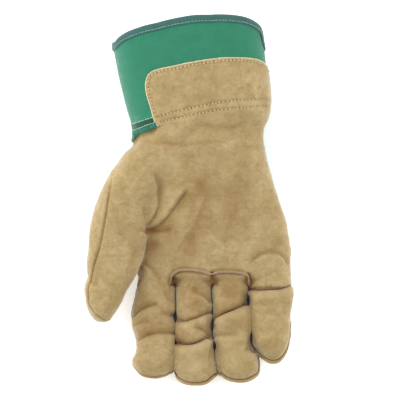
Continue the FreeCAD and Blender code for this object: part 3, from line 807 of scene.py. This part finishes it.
def suede(name, light, middle, dark, shade_colour, nap=1.0):
    """Split leather: cloudy, brushed and grained, with painted shade in the folds and painted highlight on
    the ridges, and pale on raw edges.
    """
    f = Finish(name, **SUEDE).cloth()
    broad = f.stretch(f.clouds(26, 2.5, 0.5, warp=0.8), 0.38, 0.62)
    patch = f.stretch(f.clouds(8, 3.5, 0.62, warp=1.0), 0.38, 0.66)
    brushed = f.stretch(f.clouds(1, 3, 0.6, f.place((0.15, 0.45, 0.3), (0, 0, 0.5)), 0.8), 0.36, 0.66)
    grain = f.stretch(f.clouds(2.3, 4, 0.75, warp=0.4), 0.34, 0.66)
    fibre = f.stretch(f.clouds(0.8, 4, 0.8), 0.34, 0.66)
    colour = f.mix(broad, middle, light)
    for amount, factor, other in (
        (0.62, patch, dark), (0.40, brushed, light), (0.42, grain, dark), (0.34, fibre, light),
        # painted shade towards the shade colour, painted highlight towards the light colour, pale colour on
        # raw edges
        (0.85, f.stretch(f.shade, 0.02, 1.0), shade_colour), (0.65, f.stretch(f.shade, -0.02, -0.6), light),
        (1.0, f.stretch(f.shade, -0.7, -1.2), RAW_EDGE),
    ):
        colour = f.tint(colour, amount, factor, other)
    f.feed("Base Color", colour)
    f.bump(f.clouds(5.5, 3, 0.55, warp=0.5), 0.9 * nap, 0.6)
    f.bump(f.clouds(1.5, 4, 0.7), 0.40 * nap, 0.7)
    f.bump(f.clouds(0.55, 3, 0.75), 0.20 * nap, 0.7)
    FINISHES[name] = f.material


def weave(name, base, light, dark, pitch, depth, bias=0.0, across=(1, 1), shade_colour=rgb(38, 32, 26)):
    """Plain woven cloth: two crossed sets of yarns, uneven along their length, with painted shade where its
    shade is high.
    """
    f = Finish(name, **CANVAS).cloth()
    yarns = [f.bands(pitch * across[k], (0, 0, bias + k * math.pi / 2), 1.1, 1.5) for k in range(2)]
    cloth = f.math("MULTIPLY", *yarns)
    slub = f.stretch(f.clouds(1, 2, 0.5, f.place((1.6, 0.12, 0.3))), 0.35, 0.7)
    colour = f.mix(f.stretch(f.clouds(6, 2, 0.5), 0.35, 0.65, 0.25, 0.65), base, light)
    colour = f.tint(colour, 0.25, slub, light)
    colour = f.mix(f.stretch(cloth, 0.05, 0.5, 0.45, 0.0), colour, dark)
    # painted shade: darker with the shade, and towards the shade colour where it is deepest; on the cuff this
    # also darkens the band between the two rows
    colour = f.tint(colour, 0.7, f.stretch(f.shade, 0.05, 0.9), dark)
    colour = f.mix(f.stretch(f.shade, 0.9, 1.9, 0.0, 0.75), colour, shade_colour)
    f.feed("Base Color", colour)
    f.bump(f.clouds(9, 3, 0.5), 0.7, 0.4)
    f.bump(cloth, depth, 0.8)
    f.bump(f.clouds(0.4, 2, 0.6), 0.08, 0.5)
    FINISHES[name] = f.material


def twist(name, base, dark, pitch=0.55):
    """Sewing thread: fine turns round it, a little fuzz."""
    f = Finish(name, **THREAD).cloth()
    turns = f.bands(pitch, (0, 0.3, 0.7), 2.0)
    fuzz = f.math("MULTIPLY", f.clouds(2.5, 2), 0.35)
    turned = f.math("MULTIPLY", f.stretch(turns, 0.2, 0.8), 0.45)
    f.feed("Base Color", f.mix(f.math("ADD", turned, fuzz), base, dark))
    f.bump(turns, 0.12, 0.8)
    FINISHES[name] = f.material


suede("palm_leather", rgb(177, 157, 115), rgb(153, 132, 88), rgb(124, 98, 53), rgb(114, 74, 24))
suede("leather_edge", rgb(222, 204, 170), rgb(208, 188, 150), rgb(184, 160, 118), rgb(140, 112, 74), 0.7)
suede("welt", rgb(166, 142, 119), rgb(150, 126, 103), rgb(122, 97, 74), rgb(86, 60, 40), 0.8)
# the back canvas's deepest painted shade is brown, to match the leather's shade in the slits between the
# fingers
weave("back_canvas", rgb(62, 131, 103), rgb(80, 150, 123), rgb(30, 84, 64), 0.75, 0.30,
      shade_colour=rgb(92, 62, 28))
weave("cuff_canvas", rgb(45, 124, 95), rgb(58, 139, 110), rgb(24, 84, 62), 0.75, 0.26)
weave("cotton_lining", rgb(228, 222, 206), rgb(240, 236, 224), rgb(190, 182, 162), 0.6, 0.2)
weave("binding_tape", rgb(57, 98, 93), rgb(78, 120, 115), rgb(26, 58, 55), 0.8, 0.3, math.pi / 4)
weave("elastic", rgb(226, 224, 216), rgb(240, 238, 232), rgb(160, 158, 150), 0.9, 0.35, across=(1.8, 0.8))
twist("thread", rgb(214, 194, 154), rgb(160, 134, 92))
twist("pale_thread", rgb(178, 214, 196), rgb(128, 168, 150))
twist("green_thread", rgb(62, 146, 118), rgb(36, 104, 80), 0.7)
twist("pale_green_thread", rgb(130, 172, 158), rgb(70, 118, 104), 0.7)


# ---------------------------------------------------------------- making pieces
def mesh_of(name, co, faces, rest, materials, shade=None, indices=None, sharp=None):
    """A mesh object from points in mm and lists of face arrays."""
    mesh = bpy.data.meshes.new(name)
    mesh.vertices.add(len(co))
    mesh.vertices.foreach_set("co", (co * MM).astype(np.float32).ravel())
    loops = np.concatenate([f.ravel() for f in faces]).astype(np.int32)
    sizes = np.concatenate([np.full(len(f), f.shape[1]) for f in faces])
    mesh.loops.add(len(loops))
    mesh.loops.foreach_set("vertex_index", loops)
    mesh.polygons.add(len(sizes))
    mesh.polygons.foreach_set("loop_start", np.concatenate([[0], np.cumsum(sizes)[:-1]]).astype(np.int32))
    for material in materials:
        mesh.materials.append(FINISHES[material])
    if indices is not None:
        mesh.polygons.foreach_set("material_index", indices.astype(np.int32))
    mesh.update(calc_edges=True)
    mesh.shade_smooth()
    layer = mesh.attributes.new("rest", "FLOAT_VECTOR", "POINT")
    layer.data.foreach_set("vector", rest.astype(np.float32).ravel())
    layer = mesh.attributes.new("shade", "FLOAT", "POINT")
    layer.data.foreach_set("value", (np.zeros(len(co)) if shade is None else shade).astype(np.float32))
    if sharp is not None:
        edges = np.empty(len(mesh.edges) * 2, np.int32)
        mesh.edges.foreach_get("vertices", edges)
        edges = np.sort(edges.reshape(-1, 2), 1).astype(np.int64)
        wanted = np.sort(sharp, 1).astype(np.int64)
        flag = np.isin(edges[:, 0] * len(co) + edges[:, 1], wanted[:, 0] * len(co) + wanted[:, 1])
        layer = mesh.attributes.new("sharp_edge", "BOOLEAN", "EDGE")
        layer.data.foreach_set("value", flag)
    obj = bpy.data.objects.new(name, mesh)
    bpy.context.scene.collection.objects.link(obj)
    return obj


def attach(name, obj, body):
    """Ties a palm piece to the palm's body, bakes any other piece's transform into its mesh, and hides the
    CAD part of the same name.
    """
    if body == "palm":
        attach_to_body(obj, "palm")
    elif body == "thumb":
        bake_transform(obj)
    else:
        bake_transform(obj)
    nodes = [name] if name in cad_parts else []
    if nodes:
        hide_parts(*nodes)


def border_of(faces):
    """The edges that only one face has."""
    edges = np.vstack([faces[:, [0, 1]], faces[:, [1, 2]], faces[:, [2, 0]]])
    low, high = np.sort(edges, 1).astype(np.int64).T
    _, first, times = np.unique(low * (faces.max() + 1) + high, return_index=True, return_counts=True)
    return edges[first[times == 1]]


TUBE_HALF_WIDE, TUBE_HALF_HIGH = 54, 27  # a typical section of the hand and the cuff


def unrolled(points):
    """Rest positions of cloth that wraps the palm or the cuff, with x as the length round the tube."""
    x, y, z = points.T
    left, right, low, high = (edge(TUBE, key, y) for key in ("left", "right", "low", "high"))
    u, v = (2 * x - left - right) / (right - left), (2 * z - low - high) / (high - low)
    turn = np.arctan2(np.sign(v) * np.abs(v) ** 1.125, np.sign(u) * np.abs(u) ** 1.125)
    steps = np.linspace(-math.pi, math.pi, 361)
    ring = np.stack([half * np.sign(way) * np.abs(way) ** 0.89 for half, way in (
        (TUBE_HALF_WIDE, np.cos(steps)), (TUBE_HALF_HIGH, np.sin(steps)))], 1)
    return np.stack([np.interp(turn, steps, run_along(ring)), y, z], 1)


def shell(name, slot, body, chosen, offset=0.0, thick=LEATHER, edge_finish=None, skin=outer_skin,
          raw_edge=None):
    """A panel of the skin with real thickness; its outside lies offset above the skin."""
    faces = skin[1][chosen]
    used, local = np.unique(faces, return_inverse=True)
    local = local.reshape(faces.shape)
    t = skin[0][used]
    n = unit(value(t, "normal"))
    lift = offset[used] if isinstance(offset, np.ndarray) else offset
    outer = value(t, "at") + n * np.reshape(lift, (-1, 1))
    count = len(used)
    border = border_of(local)
    rim = np.stack([border[:, 1], border[:, 0], border[:, 0] + count, border[:, 1] + count], 1)
    rest = np.vstack([value(t, "rest"), value(t, "rest") - n * thick])
    if slot in ("back_canvas", "cuff_canvas") and body == "palm":
        rest = unrolled(rest)
    shade = value(t, "shade")
    if raw_edge:
        shade = shade - 1.3 * bell(value(t, raw_edge), 0.7)
    obj = mesh_of(
        name, np.vstack([outer, outer - n * thick]), [local, local[:, ::-1] + count, rim], rest,
        (slot, edge_finish or slot), np.tile(shade, 2),
        np.concatenate([np.zeros(2 * len(local)), np.ones(len(rim))]), np.vstack([border, border + count]))
    attach(name, obj, body)


def longest_path(links):
    """The longest chain in a set of links between keys."""
    best = []
    left = set(links)
    while left:
        tips = [key for key in left if len(links[key]) == 1]
        step = [min(tips) if tips else min(left)]
        path = []
        while step:
            path.append(step[0])
            left.discard(step[0])
            step = [key for key in links[step[0]] if key in left]
        best = max(best, path, key=len)
    return best


def contour(values, keep):
    """The longest line on the skin where values cross zero, as rows of the table."""
    faces = tris[keep]
    v = values[faces]
    faces = faces[(v.min(1) < 0) & (v.max(1) > 0)]
    links, rows = {}, {}
    for face in faces:
        ends = []
        for a, b in zip(face, np.roll(face, -1)):
            if (values[a] < 0) != (values[b] < 0):
                key = (min(a, b), max(a, b))
                if key not in rows:
                    t = values[key[0]] / (values[key[0]] - values[key[1]])
                    rows[key] = data[key[0]] * (1 - t) + data[key[1]] * t
                ends.append(key)
        if len(ends) == 2:
            links.setdefault(ends[0], []).append(ends[1])
            links.setdefault(ends[1], []).append(ends[0])
    return np.array([rows[key] for key in longest_path(links)])


PATH_STEP = 0.4  # stitches follow a path with points this far apart
SIDES, RINGS = 6, 7  # of one stitch
ARCH = np.array([-0.45, 0.35, 0.72, 0.85, 0.72, 0.35, -0.45])  # its height along its length, in radii
TAPER = np.array([0.35, 0.8, 1, 1, 1, 0.8, 0.35])
OVERLOCK_TAPER = np.array([0.6, 0.9, 1, 1, 1, 0.9, 0.6])


def stitch_faces():
    """The faces of one stitch: its sides, and two at each end."""
    point = np.arange(SIDES)
    ring = np.arange(RINGS - 1)[:, None] * SIDES
    here, beside = ring + point, ring + (point + 1) % SIDES
    around = np.stack([here, here + SIDES, beside + SIDES, beside], -1).reshape(-1, 4)
    ends = [point, (RINGS - 1) * SIDES + point[::-1]]
    return np.vstack([around, *(end[corners] for corners in ([0, 1, 2, 3], [0, 3, 4, 5]) for end in ends)])


def sew(name, path, body, pitch, radius, finish, fill, lift, across=None):
    """A row of stitches along a path of table rows; across turns each one to +Y, reaching (from, to) mm."""
    run = run_along(value(path, "at"))
    grid = np.arange(0, run[-1], PATH_STEP)
    padded = np.pad(at_each(grid, run, value(path, "at")), ((3, 3), (0, 0)), mode="edge")
    line = np.stack([np.convolve(column, np.ones(7) / 7, "valid") for column in padded.T], 1)
    up = unit(at_each(grid, run, value(path, "normal")))
    rest = at_each(grid, run, value(path, "rest"))
    taper = TAPER if across is None else OVERLOCK_TAPER
    t = np.linspace(0, 1, RINGS)
    angles = np.arange(SIDES) / SIDES * 2 * math.pi
    verts, rests = [], []
    for n in range(int(run[-1] / pitch)):
        start = (n + 0.5 * (1 - fill) + 0.06 * rng.standard_normal()) * pitch
        s = start + t * fill * pitch * (1 + 0.08 * rng.standard_normal())
        if across is not None:
            s = np.full(RINGS, start)
        centre, outward = at_each(s, grid, line), at_each(s, grid, up)
        along = np.subtract(*at_each([start + 0.6, start - 0.6], grid, line))
        along /= np.linalg.norm(along)
        if across is not None:
            sideways = np.cross(outward[0], along)
            sideways *= np.sign(sideways[1])
            reach = (across[0] + t * (across[1] - across[0]))[:, None]
            centre = centre + reach * sideways + 0.12 * reach * along
            along = sideways
        centre = centre + outward * ((ARCH * radius) + lift)[:, None]
        beside = unit(np.cross(along, outward))
        centre += beside * 0.12 * radius * rng.standard_normal()
        circle = (np.cos(angles)[None, :, None] * beside[:, None]
                  + np.sin(angles)[None, :, None] * outward[:, None]) * (taper * radius)[:, None, None]
        verts.append((centre[:, None] + circle).reshape(-1, 3))
        rests.append((at_each(s, grid, rest)[:, None] + circle).reshape(-1, 3))
    first = np.arange(len(verts))[:, None, None] * SIDES * RINGS
    faces = (stitch_faces()[None] + first).reshape(-1, 4)
    obj = mesh_of(name, np.vstack(verts), [faces], np.vstack(rests), [finish])
    attach(name, obj, body)


def sweep(name, path, ups, ways, section, finish, wobble, closed=True):
    """A piece of the palm: a section of (outward, along way) points swept along a path, a little uneven."""
    count, k = len(path), len(section)
    section = np.array(section, float)
    co = path[:, None] + ups[:, None] * section[None, :, :1] + ways[:, None] * section[None, :, 1:]
    co = co.reshape(-1, 3)
    co += wobble * noise(co, 7, 21)[:, None] * np.repeat(ups, k, 0)
    rows = np.arange(count if closed else count - 1)[:, None]
    here, ahead = rows * k, (rows + 1) % count * k
    point, beside = np.arange(k), (np.arange(k) + 1) % k
    faces = [np.stack([here + point, here + beside, ahead + beside, ahead + point], -1).reshape(-1, 4)]
    if not closed:
        faces.append(np.array([point[::-1], (count - 1) * k + point]))
    attach(name, mesh_of(name, co, faces, co, [finish]), "palm")


# ---------------------------------------------------------------- the panels
def regions(skin):
    """The middle of each triangle of a skin, and which part of the glove it belongs to."""
    mean = skin[0][skin[1]].mean(1)
    thumb = value(mean, "thumb") < 0
    palm = ~thumb & (value(mean, "root") > 0)
    cuff = palm & (value(mean, "cuff") > 0)
    finger = np.where(thumb | palm, -1, np.rint(value(mean, "finger")))
    return mean, dict(thumb=thumb, palm=palm, cuff=cuff, hand=palm & ~cuff, front=value(mean, "seam") > 0,
                      **{name: finger == i for i, name in enumerate(FINGERS)})


def in_band(table, band):
    """Which rows of a table lie in the strap or the elastic."""
    return np.all([value(table, band + side) < 0 for side in ("_low", "_high", "_side")], axis=0)


mean, at = regions(outer_skin)
front, on_hand, on_cuff = at["front"], at["hand"], at["cuff"]
top_side = mean[:, 8] > -0.1
at_roots = (mean[:, 1] < WELT_TOP + 1) & (mean[:, 0] > -18) & (mean[:, 0] < 46)
in_welt = on_hand & front & (value(mean, "welt") < 0) & at_roots
in_patch = on_cuff & (value(mean, "patch") < 0) & (value(mean, "patch_side") < 0)
in_strap = on_hand & in_band(mean, "strap")
at_thumb_back = on_hand & ~front & (value(mean, "thumb_back") < 0)
rest = value(data, "rest")


def row_path(line, low=22):
    """A line of the plan view laid on the upper side of the palm's skin."""
    d, along = signed_distance(rest, rounded(line))
    along = along[tris].mean(1)
    return contour(d, (along > 0.01) & (along < 0.99) & (mean[:, 2] > low) & at["palm"] & top_side)


def inside_edge(key, distance, keep):
    """A line a little way inside the edge of a panel."""
    return contour(value(data, key) + distance, keep)


def pierce(path, pitch, radius=0.62, amount=0.95):
    """Needle holes between the stitches of a row: a dimple, with the shade of the hole painted on."""
    line = value(path, "at")
    run = run_along(line)
    holes = at_each(np.arange(0, run[-1], pitch), run, line)
    spot = value(data, "at")
    close = np.where(((spot > holes.min(0) - 2) & (spot < holes.max(0) + 2)).all(1))[0]
    gap = np.linalg.norm(spot[close][:, None] - holes[None], axis=2)
    depth = (0.55 + 0.65 * rng.random(len(holes)))[gap.argmin(1)]
    pull = depth * bell(gap.min(1), radius)
    data[close, COLUMNS["shade"]] += amount * pull
    data[close, 3:6] -= 0.35 * pull[:, None] * data[close, 6:9]


# stitches: pitch, thread radius, finish, part of the pitch that shows, lift above the skin
ON_LEATHER = (2.7, 0.42, "thread", 0.62, 1.25)
ON_STRAP = (3.2, 0.4, "thread", 0.62, 1.38)
ON_CAP = (3.0, 0.42, "thread", 0.62, 1.0)
ON_CUFF = (2.4, 0.34, "pale_thread", 0.9, 0.1)
ON_BINDING = (2.4, 0.3, "pale_green_thread", 0.9, 0.74)
patch_top = in_patch & top_side & (mean[:, 1] > 59)
THREAD_ROWS = {
    "cuff_seam_thread_high": (row_path(ROWS[0]), "palm", ON_LEATHER),
    "cuff_seam_thread_low": (row_path(ROWS[1]), "palm", ON_LEATHER),
    "wrist_patch_thread": (inside_edge("patch", 2.2, patch_top), "palm", ON_LEATHER),
    "knuckle_strap_thread_low": (inside_edge("strap_low", 2.6, in_strap), "palm", ON_STRAP),
    "knuckle_strap_thread_high": (inside_edge("strap_high", 2.6, in_strap), "palm", ON_STRAP),
    "cuff_left_thread_high": (row_path(CUFF_ROWS[0], 12), "palm", ON_CUFF),
    "cuff_left_thread_low": (row_path(CUFF_ROWS[1], 12), "palm", ON_CUFF),
    "cuff_binding_thread": (inside_edge("rim", 3.1, on_cuff), "palm", ON_BINDING),
}
for finger in FINGERS[1:]:
    row = inside_edge("cap", 2.4, at[finger] & ~front)
    THREAD_ROWS[finger + "_tip_cap_thread"] = (row, finger, ON_CAP)
for path, _, stitch in THREAD_ROWS.values():
    if stitch[2] == "thread":
        pierce(path, stitch[0])

over_cuff = 1.3 * ramp(value(data, "cuff"), -14, 0) * ramp(rest[:, 0], -24, -14)
over_cuff *= ramp(rest[:, 2], PATCH_SIDE_Z - 4, PATCH_SIDE_Z + 6)
shell("palm_leather", "palm_leather", "palm", on_hand & front & ~in_welt, over_cuff)
shell("finger_roots_front", "palm_leather", "palm", in_welt, -0.1)
shell("thumb_base_back", "palm_leather", "palm", at_thumb_back)
shell("back_canvas", "back_canvas", "palm", on_hand & ~front & ~at_thumb_back, thick=CANVAS_THICK)
shell("wrist_elastic", "elastic", "palm", on_hand & ~front & in_band(mean, "elastic"), -1.05, 0.6)
shell("knuckle_strap", "palm_leather", "palm", in_strap, 1.38, 1.3, "leather_edge")
shell("cuff_canvas", "cuff_canvas", "palm", on_cuff, thick=CANVAS_THICK)
shell("wrist_patch", "palm_leather", "palm", in_patch, 1.3, 1.25, "leather_edge", raw_edge="patch")
shell("thumb_front", "palm_leather", "thumb", at["thumb"] & front)
shell("thumb_back", "palm_leather", "thumb", at["thumb"] & ~front)
for finger in FINGERS:
    back = at[finger] & ~front
    shell(finger + "_front", "palm_leather", finger, at[finger] & front)
    if finger == "index":
        shell("index_back", "palm_leather", finger, back)
        continue
    shell(finger + "_back", "back_canvas", finger, back, thick=CANVAS_THICK)
    tip = back & (value(mean, "cap") < 0)
    shell(finger + "_tip_cap", "palm_leather", finger, tip, 1.0, 0.95, raw_edge="cap")

_, inside = regions(inner_skin)
sink = -0.2 - 2.2 * np.clip(value(inner_skin[0], "shade"), 0, 1.2)  # the lining stays well under each fold
palm_side = inside["hand"] & inside["front"]
shell("palm_lining", "cotton_lining", "palm", palm_side, sink, LINING_THICK, skin=inner_skin)
shell("cuff_lining", "cotton_lining", "palm", inside["cuff"], 0.4, LINING_THICK, skin=inner_skin)
for part in ("thumb", *FINGERS):
    palm_side = inside[part] & inside["front"]
    shell(part + "_lining", "cotton_lining", part, palm_side, sink, LINING_THICK, skin=inner_skin)


# ---------------------------------------------------------------- the corded seam at the finger roots
def even_path(loop, count, rounds, closed):
    """Evenly spaced points, outward directions and sideways directions from table rows, smoothed."""
    line, up = value(loop, "at"), value(loop, "normal")
    run = run_along(line)
    places = np.linspace(0, run[-1], count, endpoint=not closed)
    line, up = at_each(places, run, line), at_each(places, run, up)
    inner = slice(None) if closed else slice(1, -1)
    for _ in range(rounds):
        for values in (line, up):
            values[inner] = ((np.roll(values, 1, 0) + values + np.roll(values, -1, 0)) / 3)[inner]
    ahead = np.roll(line, -1, 0) - np.roll(line, 1, 0)
    if not closed:
        ahead[0], ahead[-1] = line[1] - line[0], line[-1] - line[-2]
    way = unit(np.cross(ahead, up))
    return line, unit(up), way * np.sign(way[:, 1].mean())


welt_line = contour(value(data, "welt") + 0.05, on_hand & front & top_side & at_roots)
line, up, way = even_path(welt_line, 90, 4, False)
ends = ramp(np.abs(np.linspace(-1, 1, len(line))), 0.9, 1.0)
line -= up * 0.9 * ends[:, None]  # the ends of the cord go under the leather
CORD = [(math.sin(a) * 0.55 + 0.05, math.cos(a) * 0.72) for a in np.arange(10) / 10 * 2 * math.pi]
sweep("finger_base_welt", line, up, way, CORD, "welt", 0.2, closed=False)

# ---------------------------------------------------------------- binding round the mouth
BINDING = [(0.02, -4.2), (0.7, -4.25), (1.0, -3.8), (0.75, -2.9), (1.05, -1.8), (1.05, -0.3), (0.7, 0.6),
           (-0.2, 1.0), (-1.6, 1.0), (-2.6, 0.6), (-2.95, -0.3), (-2.9, -4.2), (-2.1, -4.3), (-2.0, -0.4),
           (-0.02, -0.4)]
mouth = even_path(contour(value(data, "rim") + 0.05, on_cuff), 300, 6, True)
sweep("cuff_binding", *mouth, BINDING, "binding_tape", 0.12)

# ---------------------------------------------------------------- stitching
for name, (path, body, stitch) in THREAD_ROWS.items():
    sew(name, path, body, *stitch)
overlocked = at["palm"] & (mean[:, 0] < -20.5) & (mean[:, 0] > -37.6) & (mean[:, 2] > 27)
cuff_edge = contour(value(data, "cuff") - 0.3, overlocked)
sew("cuff_overlock", cuff_edge, "palm", 1.5, 0.5, "green_thread", 0.62, -0.05, across=(-0.8, 3.7))


# ---------------------------------------------------------------- studio
def floor_finish(colour, glow):
    """A pale floor that glows a little, painted light that washes out the glove's shadow on it; in an oval
    under the fingers it does not glow, a painted shadow that keeps the slits between the fingers dark.
    """
    f = Finish("floor", Roughness=0.9, Emission_Color=(1, 1, 1, 1))
    uneven = f.node("ShaderNodeTexNoise", {"Scale": 6.0})["Fac"]
    f.feed("Base Color", f.mix(uneven, colour, tuple(min(c * 1.02, 1) for c in colour)))
    x, y, wide, high = UNDER_FINGERS
    oval = f.node("ShaderNodeMapping", {
        "Vector": f.node("ShaderNodeTexCoord", {})["Object"], "Scale": (1 / wide, 1 / high, 1),
        "Location": (-x / wide, -y / high, 0)})["Vector"]
    length = f.node("ShaderNodeVectorMath", {0: oval}, operation="LENGTH")["Value"]
    f.feed("Emission Strength", f.stretch(length, 0.85, 1.1, 0.0, glow))
    return f.material


# the oval of painted shadow under the fingers, where the floor does not glow
UNDER_FINGERS = (16 * MM, -84 * MM, 48 * MM, 40 * MM)  # the oval's middle and half widths
half = 3.0
floor_mesh = bpy.data.meshes.new("floor")
corners = [(-half, -half, 0), (half, -half, 0), (half, half, 0), (-half, half, 0)]
floor_mesh.from_pydata(corners, [], [(0, 1, 2, 3)])
floor_mesh.materials.append(floor_finish((0.93, 0.93, 0.93, 1), 0.30))
floor = bpy.data.objects.new("floor", floor_mesh)
bpy.context.scene.collection.objects.link(floor)

world = bpy.data.worlds.new("studio")
world.use_nodes = True
world.node_tree.nodes["Background"].inputs["Color"].default_value = (1, 1, 1, 1)
world.node_tree.nodes["Background"].inputs["Strength"].default_value = 0.87
bpy.context.scene.world = world


def lamp(name, place, aim, size, power):
    """A soft round lamp at a place, aimed at a point."""
    light = bpy.data.lights.new(name, "AREA")
    light.shape = "DISK"
    light.size = size
    light.energy = power
    obj = bpy.data.objects.new(name, light)
    obj.location = place
    obj.rotation_euler = (Vector(aim) - Vector(place)).to_track_quat("-Z", "Y").to_euler()
    bpy.context.scene.collection.objects.link(obj)


lamp("key", (-0.45, 0.95, 1.0), (0, 0, 0), 0.5, 8.0)
lamp("fill", (0.9, -0.6, 1.3), (0, 0, 0), 1.2, 1.5)
lamp("left", (-1.1, 0.1, 0.42), (0, 0, 0.02), 0.6, 7.5)
lamp("right", (1.1, 0.0, 0.42), (0, 0, 0.02), 0.6, 5.5)

CAMERA_REACH = 2.5  # far away, as the photo has little perspective
VIEW = 0.28572  # width of the picture, at the glove
camera_data = bpy.data.cameras.new("camera")
camera_data.clip_end = 20
camera_data.sensor_width = 36
camera_data.lens = camera_data.sensor_width / VIEW * CAMERA_REACH
camera = bpy.data.objects.new("camera", camera_data)
camera.location = (0.0079, -0.0004, CAMERA_REACH + 0.02)
bpy.context.scene.collection.objects.link(camera)
bpy.context.scene.camera = camera
bpy.context.scene.view_settings.view_transform = "Standard"
